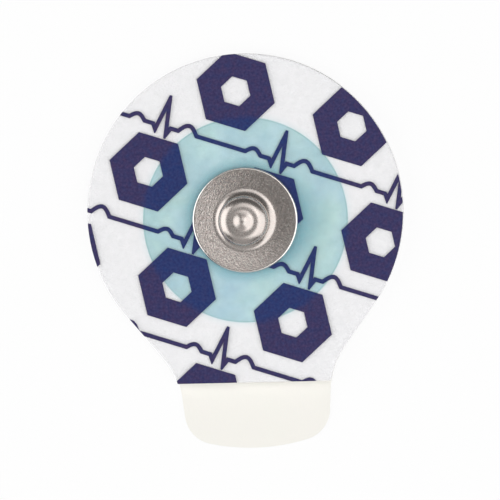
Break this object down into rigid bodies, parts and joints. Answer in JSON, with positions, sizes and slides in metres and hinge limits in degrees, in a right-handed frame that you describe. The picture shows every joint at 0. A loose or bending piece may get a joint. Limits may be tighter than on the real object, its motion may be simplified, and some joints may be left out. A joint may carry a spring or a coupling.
{
  "type": "ecg electrode",
  "caption": "Disposable snap electrode for heart monitoring: a printed foam pad with a gel centre, a metal snap stud on top and a thin pull tab for peeling it off.",
  "frame": {"origin": "where the stud's axis meets the skin face of the gel disc", "axes": "+Z from the skin out along the stud, +Y from the stud away from the pull tab, +X to the right when the stud faces the viewer"},
  "size_m": [0.024, 0.03, 0.0038],
  "materials": {
    "foam": "white closed-cell foam",
    "gel": "cloudy pale blue hydrogel",
    "eyelet": "grey silver-coated plastic",
    "film": "clear satin film",
    "ink": "navy printing ink",
    "tab": "smooth cream strip",
    "stud": "satin plated metal with a fine circular grain"
  },
  "bodies": {
    "root": {"foam_pad": "foam", "gel_disc": "gel", "sensor_eyelet": "eyelet", "printed_film": "film", "pull_tab": "tab", "snap_stud": "stud", "print_hexagon_1_3": "ink", "print_hexagon_2_1": "ink", "print_hexagon_2_2": "ink", "print_hexagon_2_3": "ink", "print_hexagon_3_2": "ink", "print_hexagon_3_3": "ink", "print_hexagon_3_4": "ink", "print_hexagon_4_2": "ink", "print_hexagon_4_3": "ink", "print_trace_1": "ink", "print_trace_2": "ink", "print_trace_3": "ink"}
  },
  "joints": []
}
